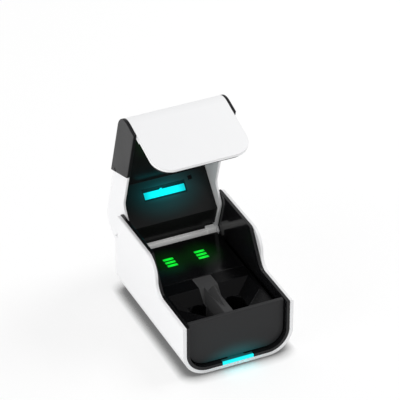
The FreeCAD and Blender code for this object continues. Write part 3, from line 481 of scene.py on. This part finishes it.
def inlet_finish(low, high):
    """Drawn steel, but black resin on the tongue, inside the shell's middle band."""
    finish = drawn_metal("inlet_steel", INLET_STEEL, rough=0.26, stretch=(600, 6000, 600))
    tree, bsdf = tree_of(finish)
    x, _, z = axes_of(tree, place_on(tree))
    height = distance_from(tree, z, (low[2] + high[2]) / 2)
    in_band = maths(tree, "LESS_THAN", height, TONGUE_BAND)
    in_reach = maths(tree, "LESS_THAN", maths(tree, "ABSOLUTE", x), high[0] - TONGUE_SIDE)
    tongue = maths(tree, "MULTIPLY", in_band, in_reach)
    lay_over(finish, tongue, RESIN_BLACK)
    tree.links.new(maths(tree, "SUBTRACT", 1.0, tongue), bsdf.inputs["Metallic"])
    return finish


def bar_in(bm, low, high, ease=0.0):
    """A bar between two corners, its edges eased."""
    made = bmesh.ops.create_cube(bm, size=1.0)["verts"]
    middle = [(a + b) / 2 for a, b in zip(low, high)]
    for vert in made:
        vert.co = Vector([m + (b - a) * c for m, a, b, c in zip(middle, low, high, vert.co)])
    if ease:
        edges = list({e for v in made for e in v.link_edges})
        bmesh.ops.bevel(bm, geom=edges, offset=ease, segments=2, affect="EDGES", profile=0.5)


def gilt_contacts(bm):
    """A row of flat strips, sunk a little into the tongue's upper side."""
    low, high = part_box("power_socket")
    tongue_top = (low[2] + high[2]) / 2 + TONGUE_HALF
    back = high[1] - CONTACT_SET_BACK
    pitch = CONTACT_ROW / CONTACT_COUNT
    for i in range(CONTACT_COUNT):
        x = (i - (CONTACT_COUNT - 1) / 2) * pitch
        bar_in(bm, (x - CONTACT_WIDE / 2, back - CONTACT_LONG, tongue_top - CONTACT_EASE),
               (x + CONTACT_WIDE / 2, back, tongue_top + CONTACT_THICK), ease=CONTACT_EASE)


dress(inlet_finish(*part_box("power_socket")), "power_socket")
dress(board_green, "socket_board")
inlet_contacts = mesh_piece("inlet_contacts", gilt_contacts, drawn_metal(
    "contact_gilt", PAD_GOLD, rough=0.22, stretch=(3000, 400, 3000)))
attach(inlet_contacts, "housing")


# ---------------------------------------------------------------- catch magnets and lid sensor
# Nickel-plated neodymium blocks behind the front panel, and a small resin sensor that tells the
# board when the lid is shut, so that the lamp lights only then.
NICKEL = (0.6, 0.585, 0.55)

nickel = drawn_metal("nickel_plate", NICKEL, rough=0.18, stretch=(900, 900, 900), depth=0.1)
dress(nickel, "base_magnets")
dress(moulded("sensor_resin", RESIN_BLACK, rough=0.4, grain=3000.0, depth=0.2),
      "interlock_sensor")


# ---------------------------------------------------------------- start key and its switch
# A clear acrylic light guide, lit cyan, in a slot of the tub's floor. Its front edge glows; the
# rest is masked in grey ink. Its stem runs back to a push switch on tinned legs.
LIGHT_CYAN = (0.0, 0.93, 1.0)
KEY_MASK = (0.02, 0.05, 0.055)
KEY_LIT_DEPTH = 0.0009     # how far back from its front edge the key glows
KEY_SPILL_SIZE = (0.018, 0.0012)
KEY_SPILL_POWER = 0.001    # watts that fall from it on the tabletop in front
KEY_SPILL_PLACE = (0.0004, 0.0008)    # ahead of the key's front edge, and above its underside
KEY_SPILL_AIM = (0.03, -0.004)        # how far ahead, and how high, that light is aimed


def light_guide(name, tint, light, rough=0.3, shine=0.5):
    """Clear plastic that carries the light of an emitter behind it."""
    finish = moulded(name, tint, rough, grain=1500.0, depth=0.03, shine=shine)
    tree, bsdf = tree_of(finish)
    bsdf.inputs["Emission Color"].default_value = (*light, 1.0)
    return finish, tree, bsdf


def lit_key(front):
    """Acrylic that glows at its front edge and fades over a short way behind it."""
    finish, tree, bsdf = light_guide("key_acrylic", KEY_MASK, LIGHT_CYAN, shine=0.1)
    behind = axes_of(tree, place_on(tree))[1]
    glow = ramp(tree, behind, front + KEY_LIT_DEPTH * 1.5, front + KEY_LIT_DEPTH * 0.6,
                low=0.05, high=1.05, curve="SMOOTHSTEP")
    tree.links.new(glow, bsdf.inputs["Emission Strength"])
    return finish


_, key_front, key_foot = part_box("start_key")[0]
dress(lit_key(key_front), "start_key")
soft_lamp("key_spill",
          place=(0.0, key_front - KEY_SPILL_PLACE[0], key_foot + KEY_SPILL_PLACE[1]),
          target=(0.0, key_front - KEY_SPILL_AIM[0], KEY_SPILL_AIM[1]),
          size=KEY_SPILL_SIZE, power=KEY_SPILL_POWER, colour=LIGHT_CYAN)
dress(legged("switch_resin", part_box("key_switch")[0][2], rise=0.0006), "key_switch")


# ---------------------------------------------------------------- front panel
# A dark grey satin panel, set back so that the closed flap drops in front of it. The little cyan
# light that the key throws up its face is painted into the panel as a faint glow.
PANEL_GREY = (0.0225, 0.0225, 0.0235)
WELD_WITHIN = 1e-6
SHARP_EDGE = 38            # degrees from which an edge is rounded


def soften(radius, *names):
    """Round a moulding's sharp edges, as its tool leaves them."""
    for name in names:
        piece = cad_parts[name]
        weld = piece.modifiers.new("weld", "WELD")
        weld.merge_threshold = WELD_WITHIN
        edge = piece.modifiers.new("edges", "BEVEL")
        edge.width = radius
        edge.segments = 2
        edge.limit_method = "ANGLE"
        edge.angle_limit = math.radians(SHARP_EDGE)
        edge.use_clamp_overlap = False
        edge.harden_normals = False
        piece.modifiers.new("normals", "WEIGHTED_NORMAL").keep_sharp = True


def spill(finish, colour, middle, reach, level, faces_up=False):
    """A faint glow of the piece's own, in place of the light that a lamp near it throws on it:
    brightest at the lamp's middle, gone at its reach. With faces_up, only the facets that look
    upwards at rest have it."""
    tree, bsdf = tree_of(finish)
    bsdf.inputs["Emission Color"].default_value = (*colour, 1.0)
    where = tree.nodes.new("ShaderNodeTexCoord").outputs
    place = add_node(tree, "ShaderNodeMapping", vector_type="TEXTURE", Location=middle,
                     Scale=reach)
    away = add_node(tree, "ShaderNodeVectorMath", operation="LENGTH")
    tree.links.new(where["Object"], place.inputs["Vector"])
    tree.links.new(place.outputs["Vector"], away.inputs[0])
    light = ramp(tree, away.outputs["Value"], 0.0, 1.0, level, 0.0, curve="SMOOTHERSTEP")
    if faces_up:
        upward = ramp(tree, axes_of(tree, where["Normal"])[2], start=0.0, end=0.3)
        light = maths(tree, "MULTIPLY", upward, light)
    glow = bsdf.inputs["Emission Strength"]
    if glow.links:
        light = maths(tree, "ADD", glow.links[0].from_socket, light)
    tree.links.new(light, glow)
    return finish


panel_satin_painted_key_light = moulded("panel_satin_painted_key_light", PANEL_GREY, rough=0.4, grain=3200.0, depth=0.18, shine=0.15)
# painted light: the key's cyan glow on the panel's face, brightest just above the key
spill(panel_satin_painted_key_light, LIGHT_CYAN, middle=(0.0, -0.0436, 0.0030), reach=(0.029, 0.006, 0.0145),
      level=0.095)
dress(panel_satin_painted_key_light, "front_panel")
soften(0.00025, "front_panel")


# ---------------------------------------------------------------- well insert
# A satin black moulding that drops into the tub's front: two eight-sided wells with sloping
# facets round their mouths, and a hipped ridge between them. Air slots open in its side walls.
INSERT_BLACK = (0.003, 0.003, 0.0034)
RIDGE_GREY = (0.055, 0.055, 0.056)
RIDGE_HALF = 0.0056
RIDGE_FADE = 0.0001
CORNER_PAINTED_LIGHT = 0.95        # how much of the ridge's grey is painted on the front corners' facets, as light


def insert_finish():
    """Satin black. The ridge between the wells is a lighter grey. The facets that face backwards
    and up at the wells' front corners have that grey painted on, as light falling on them."""
    finish = moulded("insert_satin_painted_corner_light", INSERT_BLACK, rough=0.24, grain=2600.0, depth=0.03,
                     shine=0.08)
    tree = finish.node_tree
    where = tree.nodes.new("ShaderNodeTexCoord").outputs
    off_middle = maths(tree, "ABSOLUTE", axes_of(tree, where["Object"])[0])
    ridge = ramp(tree, off_middle, RIDGE_HALF + RIDGE_FADE, RIDGE_HALF)
    _, back, top = axes_of(tree, where["Normal"])
    # painted light: facets that face backwards and up are lightened towards the ridge's grey
    backward = ramp(tree, back, start=0.05, end=0.15, high=CORNER_PAINTED_LIGHT)
    upward = ramp(tree, top, start=0.15, end=0.3)
    painted_corner_light = maths(tree, "MULTIPLY", backward, upward)
    lay_over(finish, maths(tree, "MAXIMUM", ridge, painted_corner_light), RIDGE_GREY)
    return finish


dress(insert_finish(), "well_insert")
soften(0.0002, "well_insert")


# ---------------------------------------------------------------- well cushions
# A thin black silicone cushion lies on each well's floor, over the coil, with a raised bead
# round its edge. It keeps the charged aid from sliding.
CUSHION_HALF = (0.0045, 0.0086)
CUSHION_CORNER = 0.0030
CUSHION_TAPER = 0.6        # how much of an inset its cut corners follow
CUSHION_FLOOR = 0.00725
CUSHION_RINGS = ((0.0, -0.00005), (0.00005, 0.0003), (0.0002, 0.00045), (0.0005, 0.00048),
                 (0.00075, 0.0004), (0.0009, 0.0002))     # inset and height, from foot to flat
CUSHION_BLACK = (0.016, 0.016, 0.017)


def skin(bm, rings):
    """Join rings of points into one closed surface, with a face over each end."""
    count = len(rings[0])
    for lower, upper in zip(rings, rings[1:]):
        for i in range(count):
            j = (i + 1) % count
            bm.faces.new((lower[i], lower[j], upper[j], upper[i]))
    bm.faces.new(rings[-1])
    bm.faces.new(rings[0][::-1])


def cushion(bm, side):
    """Rings of an eight-sided outline, from the foot up over the bead and down to the flat."""
    def ring(inset, height):
        x, y = CUSHION_HALF[0] - inset, CUSHION_HALF[1] - inset
        c = CUSHION_CORNER - inset * CUSHION_TAPER
        flat = [(-x + c, -y), (x - c, -y), (x, -y + c), (x, y - c), (x - c, y), (-x + c, y),
                (-x, y - c), (-x, -y + c)]
        return [bm.verts.new((side * COIL_MIDDLE[0] + u, COIL_MIDDLE[1] + v,
                              CUSHION_FLOOR + height)) for u, v in flat]
    skin(bm, [ring(inset, height) for inset, height in CUSHION_RINGS])


cushion_rubber = moulded("cushion_rubber", CUSHION_BLACK, rough=0.7, grain=2600.0, depth=0.5,
                         edge=0.0002)
for side, hand in ((-1, "left"), (1, "right")):
    well_cushion = mesh_piece("well_cushion_" + hand, lambda bm: cushion(bm, side),
                              cushion_rubber)
    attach(well_cushion, "housing")


# ---------------------------------------------------------------- display deck
# A glossy black moulding behind the wells, screwed down from below. The status bars show through
# its six slots; their green light on the deck round them is painted as a faint glow.
DECK_BLACK = (0.0045, 0.0045, 0.005)
BAR_GREEN = (0.0, 0.82, 0.03)
BARS_MIDDLE = (0.00955, 0.0241, 0.0279)

deck_black_painted_bar_light = moulded("deck_black_painted_bar_light", DECK_BLACK, rough=0.16, grain=900.0, depth=0.02, shine=0.2)
# painted light: the bars' green glow on the deck round each group
for side in (-1, 1):
    spill(deck_black_painted_bar_light, BAR_GREEN, middle=(side * BARS_MIDDLE[0], *BARS_MIDDLE[1:]),
          reach=(0.016, 0.017, 0.01), level=0.022)
dress(deck_black_painted_bar_light, "display_deck")
soften(0.0002, "display_deck")


# ---------------------------------------------------------------- status bars and their board
# Two groups of three clear light guides, lit green from the board below. Each bar is brightest
# over its emitter, at its middle.
BAR_TINT = (0.01, 0.25, 0.02)
BAR_HALF = 0.0034


def lit_bars(name, side):
    """Light guides that fade a little towards both ends."""
    finish, tree, bsdf = light_guide(name, BAR_TINT, BAR_GREEN)
    across = axes_of(tree, place_on(tree))[0]
    away = distance_from(tree, across, side * BARS_MIDDLE[0])
    glow = ramp(tree, away, 0.0, BAR_HALF, low=1.1, high=0.7, curve="SMOOTHSTEP")
    tree.links.new(glow, bsdf.inputs["Emission Strength"])
    return finish


dress(lit_bars("bars_left", -1), "status_lights_left")
dress(lit_bars("bars_right", 1), "status_lights_right")
dress(board_green, "indicator_board")


# ---------------------------------------------------------------- hinge rail and pins
# A light grey satin bar with two end blocks runs across the back, over the tub's rear wall; a
# painted glow lifts its tone. Two ground steel pins in the tub's ears carry the lid's arms.
RAIL_GREY = (0.9, 0.9, 0.895)
RAIL_PAINTED_LIGHT = (1.0, 1.0, 0.985)     # painted light: a faint glow of its own, which lifts the rail's tone

rail_satin_painted_light = moulded("rail_satin_painted_light", RAIL_GREY, rough=0.38, grain=2400.0, depth=0.12, mottle=0.15,
                     drift=0.03)
# painted light: a faint white glow over the rail, in place of light falling on it
spill(rail_satin_painted_light, RAIL_PAINTED_LIGHT, middle=(0.0, 0.0425, 0.0275), reach=(0.06, 0.02, 0.02), level=0.16)
dress(rail_satin_painted_light, "hinge_rail")
soften(0.00025, "hinge_rail")
dress(drawn_metal("hinge_steel", GROUND_STEEL, rough=0.2, stretch=(8000, 400, 400)),
      "hinge_pins")


# ---------------------------------------------------------------- back cover and its dust screen
# White ABS, its top rounded about the hinge line so that the lid's tail swings past it. Air
# enters by a row of slots, through a woven steel screen that is heat-staked inside.
COVER_WALL = 0.0016
SCREEN_GAP = 0.00035       # from the cover's wall to the middle of the screen
SCREEN_HALF = 0.0102
SCREEN_LOW, SCREEN_HIGH = 0.0127, 0.0237
SCREEN_STRAND = 0.00011
SCREEN_PITCH = 0.00085
SCREEN_STEEL = (0.35, 0.35, 0.36)


def dust_screen_mesh(bm):
    """Upright and level strands that pass in front of and behind each other."""
    blower_low, blower_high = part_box("blower_housing")
    middle_x = (blower_low[0] + blower_high[0]) / 2
    x0, x1 = middle_x - SCREEN_HALF, middle_x + SCREEN_HALF
    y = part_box("rear_cover")[1][1] - COVER_WALL - SCREEN_GAP
    half = SCREEN_STRAND / 2
    for i in range(int((x1 - x0) / SCREEN_PITCH) + 1):
        x = x0 + i * SCREEN_PITCH
        weave = half if i % 2 else -half
        bar_in(bm, (x - SCREEN_STRAND, y - half + weave, SCREEN_LOW),
               (x + SCREEN_STRAND, y + half + weave, SCREEN_HIGH))
    for i in range(int((SCREEN_HIGH - SCREEN_LOW) / SCREEN_PITCH) + 1):
        z = SCREEN_LOW + i * SCREEN_PITCH
        weave = half if i % 2 else -half
        bar_in(bm, (x0, y - half - weave, z - SCREEN_STRAND),
               (x1, y + half - weave, z + SCREEN_STRAND))


dress(white_abs("cover_white", rough=0.38), "rear_cover")
dust_screen = mesh_piece("dust_screen", dust_screen_mesh, drawn_metal(
    "screen_steel", SCREEN_STEEL, rough=0.35, stretch=(3000, 3000, 3000)))
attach(dust_screen, "housing")


# ---------------------------------------------------------------- lid skin
# One white moulding: the flap at the front, the rounded brow, the back, the two cheeks and the
# arms that take the hinge pins. It carries everything else in the lid.
dress(white_abs("lid_white", rough=0.37), "lid_shell")


# ---------------------------------------------------------------- side trims
# Dark grey satin trims, clipped to the lid's sides. Closed, they fill the step beside the wells.
# Each has a small blind dimple near its lower rear corner, where its clip is.
TRIM_GREY = (0.031, 0.031, 0.032)
TRIM_FLAT, TRIM_FULL_SHADE = 0.9, 0.6     # how squarely a face looks sideways: where the painted shade on the edges begins, and where it is full
DIMPLE_RADIUS = 0.0009
DIMPLE_PLACE = (0.0511, 0.0796)
DIMPLE_SIDES = 24
DIMPLE_PROFILE = ((1.2, -0.0003), (1.2, 0.00003), (1.0, 0.00004), (0.8, 0.00002),
                  (0.35, -0.00001))   # share of the radius, and rise from the trim's face


def trim_finish():
    """Satin on the flat outer face; the edges, which face up, down or forwards, are darker as
    painted shade.
    """
    finish = moulded("trim_satin_painted_edge_shade", TRIM_GREY, rough=0.42, grain=3200.0, depth=0.15, shine=0.11)
    tree = finish.node_tree
    facing = tree.nodes.new("ShaderNodeNewGeometry").outputs["True Normal"]
    sideways = maths(tree, "ABSOLUTE", axes_of(tree, facing)[0])
    # painted shade: faces that don't look sideways are darkened towards gloss black
    lay_over(finish, ramp(tree, sideways, TRIM_FLAT, TRIM_FULL_SHADE), GLOSS_BLACK)
    return finish


def dimple(bm, side):
    """A lathed dish: a low lip, a sloping wall and a flat floor, facing outwards."""
    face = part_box("side_cap_right")[1][0]
    rings = []
    for share, rise in DIMPLE_PROFILE:
        radius = share * DIMPLE_RADIUS
        ring = [bm.verts.new((side * (face + rise), DIMPLE_PLACE[0] + radius * math.cos(a),
                              DIMPLE_PLACE[1] + radius * math.sin(a)))
                for a in (math.tau * i / DIMPLE_SIDES for i in range(DIMPLE_SIDES))]
        rings.append(ring if side > 0 else ring[::-1])
    skin(bm, rings)


dress(trim_finish(), "side_cap_left", "side_cap_right")
soften(0.0002, "side_cap_left", "side_cap_right")
dimple_black = moulded("dimple_black", GLOSS_BLACK, rough=0.6, grain=2600.0, depth=0.1,
                       shine=0.03)
for side, hand in ((-1, "left"), (1, "right")):
    trim_dimple = mesh_piece("trim_dimple_" + hand, lambda bm: dimple(bm, side), dimple_black)
    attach(trim_dimple, "lid")


# ---------------------------------------------------------------- lid liner
# Black satin polycarbonate in flat facets: a ceiling over the wells, a slope that holds the
# lamp, and a low tail. The lamp's cyan light on the facets round it is painted as a faint glow.
LINER_BLACK = (0.0125, 0.013, 0.0132)
LAMP_MIDDLE = tuple((a + b) / 2 for a, b in zip(*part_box("uv_lamp")))


def liner_satin(name):
    """The dark satin of the lid's inside."""
    return moulded(name, LINER_BLACK, rough=0.2, grain=1800.0, depth=0.02, shine=0.12)


liner_black_painted_lamp_light = liner_satin("liner_black_painted_lamp_light")
# painted light: the lamp's cyan glow, on upward facets farther out and on all facets close by
spill(liner_black_painted_lamp_light, LIGHT_CYAN, LAMP_MIDDLE, reach=(0.031, 0.02, 0.021), level=0.043,
      faces_up=True)
spill(liner_black_painted_lamp_light, LIGHT_CYAN, LAMP_MIDDLE, reach=(0.0195, 0.0075, 0.0075), level=0.08)
dress(liner_black_painted_lamp_light, "lid_liner")
soften(0.00015, "lid_liner")


# ---------------------------------------------------------------- flap lining
# A black plate inside the flap. It plugs the recess in the front when the lid is shut, and holds
# the two catch magnets.
dress(liner_satin("lining_black"), "flap_lining")
soften(0.00015, "flap_lining")
dress(nickel, "lid_magnets")


# ---------------------------------------------------------------- lamp, tray, board and sensor
# A cyan lamp window of clear plastic, sunk in a matt black tray; the lamp's light on the tray is
# painted as a faint cyan glow. A board with a row of four emitters lies behind the tray, and a
# small dark sensor window is beside it.
TRAY_BLACK = (0.003, 0.0035, 0.004)
LAMP_TINT = (0.0, 0.12, 0.14)
LAMP_REACH = (0.0131, 0.1, 0.0029)    # half its size along and across; deep enough not to fade
EYE_BLACK = (0.002, 0.002, 0.0025)


def lit_lamp():
    """Diffusing window: even cyan along the bar, a little deeper at its long edges and ends."""
    finish, tree, bsdf = light_guide("lamp_window", LAMP_TINT, LIGHT_CYAN, rough=0.32, shine=0.2)
    place = add_node(tree, "ShaderNodeMapping", vector_type="TEXTURE", Location=LAMP_MIDDLE,
                     Scale=LAMP_REACH)
    tree.links.new(place_on(tree), place.inputs["Vector"])
    along, _, across = axes_of(tree, place.outputs["Vector"])
    outmost = maths(tree, "MAXIMUM", maths(tree, "ABSOLUTE", along),
                    maths(tree, "ABSOLUTE", across))
    glow = ramp(tree, outmost, start=0.45, end=1.05, low=1.1, high=0.6, curve="SMOOTHSTEP")
    tree.links.new(glow, bsdf.inputs["Emission Strength"])
    return finish


tray_matt_painted_lamp_light = moulded("tray_matt_painted_lamp_light", TRAY_BLACK, rough=0.5, grain=2400.0, depth=0.2, shine=0.12)
# painted light: the lamp's cyan glow on the tray round it
spill(tray_matt_painted_lamp_light, LIGHT_CYAN, LAMP_MIDDLE, reach=(0.024, 0.014, 0.013), level=0.045)
dress(tray_matt_painted_lamp_light, "lamp_tray")
dress(lit_lamp(), "uv_lamp")
dress(board_green, "lamp_board")
dress(moulded("eye_window", EYE_BLACK, rough=0.3, grain=900.0, depth=0.01, shine=0.08),
      "lid_eye")
